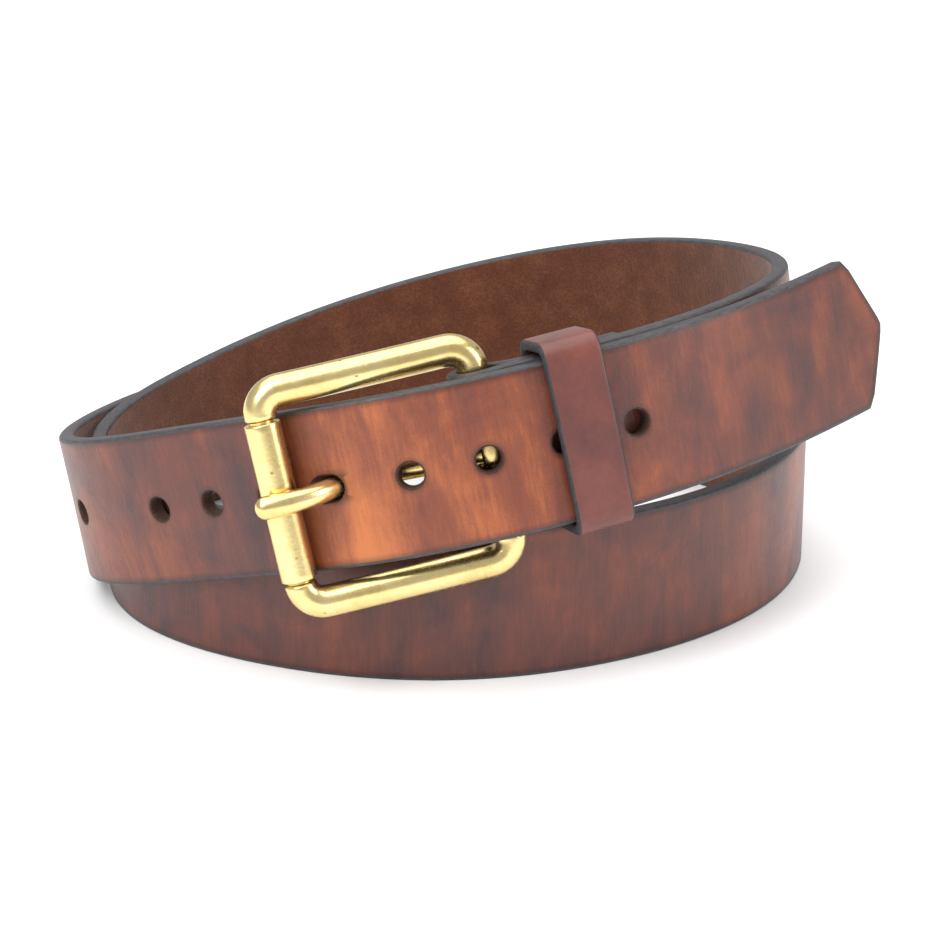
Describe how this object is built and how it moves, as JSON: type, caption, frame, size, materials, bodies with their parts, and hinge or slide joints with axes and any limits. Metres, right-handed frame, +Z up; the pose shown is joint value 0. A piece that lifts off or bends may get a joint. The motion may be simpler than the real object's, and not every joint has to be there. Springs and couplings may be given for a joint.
{
  "type": "leather belt",
  "caption": "Buckled leather belt coiled on edge, with a round-bar brass roller buckle, a leather keeper and a pointed tail with punched holes.",
  "frame": {"origin": "middle of the whole object's footprint, on the floor", "axes": "+Z up, +X to the wearer's-left side of the coil towards the tip, -Y towards the buckle"},
  "size_m": [0.218, 0.1941, 0.0954],
  "materials": {
    "leather": "satin, burnished dark edges",
    "keeper_leather": "satin, black edges",
    "brass": "polished",
    "roller_brass": "brushed round its length",
    "fastener_brass": "polished"
  },
  "bodies": {
    "belt": {"strap": "leather", "screw_posts": "fastener_brass", "screws": "fastener_brass"},
    "buckle": {"buckle_frame": "brass"},
    "roller": {"roller": "roller_brass"},
    "tongue": {"tongue": "brass"},
    "keeper": {"keeper": "keeper_leather", "keeper_staples": "fastener_brass"}
  },
  "joints": [
    {"name": "buckle_swing", "type": "hinge", "parent": "belt", "child": "buckle", "pos_m": [0.007, -0.0802, 0.06077], "axis": [-0.2148, 0.1346, 0.9673], "range_deg": [0, 0.5]},
    {"name": "tongue_swing", "type": "hinge", "parent": "buckle", "child": "tongue", "pos_m": [0.007, -0.0802, 0.06077], "axis": [-0.2148, 0.1346, 0.9673], "range_deg": [0, 0.3]},
    {"name": "roller_spin", "type": "hinge", "parent": "buckle", "child": "roller", "pos_m": [-0.04283, -0.08769, 0.05013], "axis": [-0.2148, 0.1346, 0.9673], "continuous": true},
    {"name": "keeper_slide", "type": "slide", "parent": "belt", "child": "keeper", "axis": [0.9355, 0.3125, 0.1652], "range_m": [-0.0005, 0.002]}
  ]
}
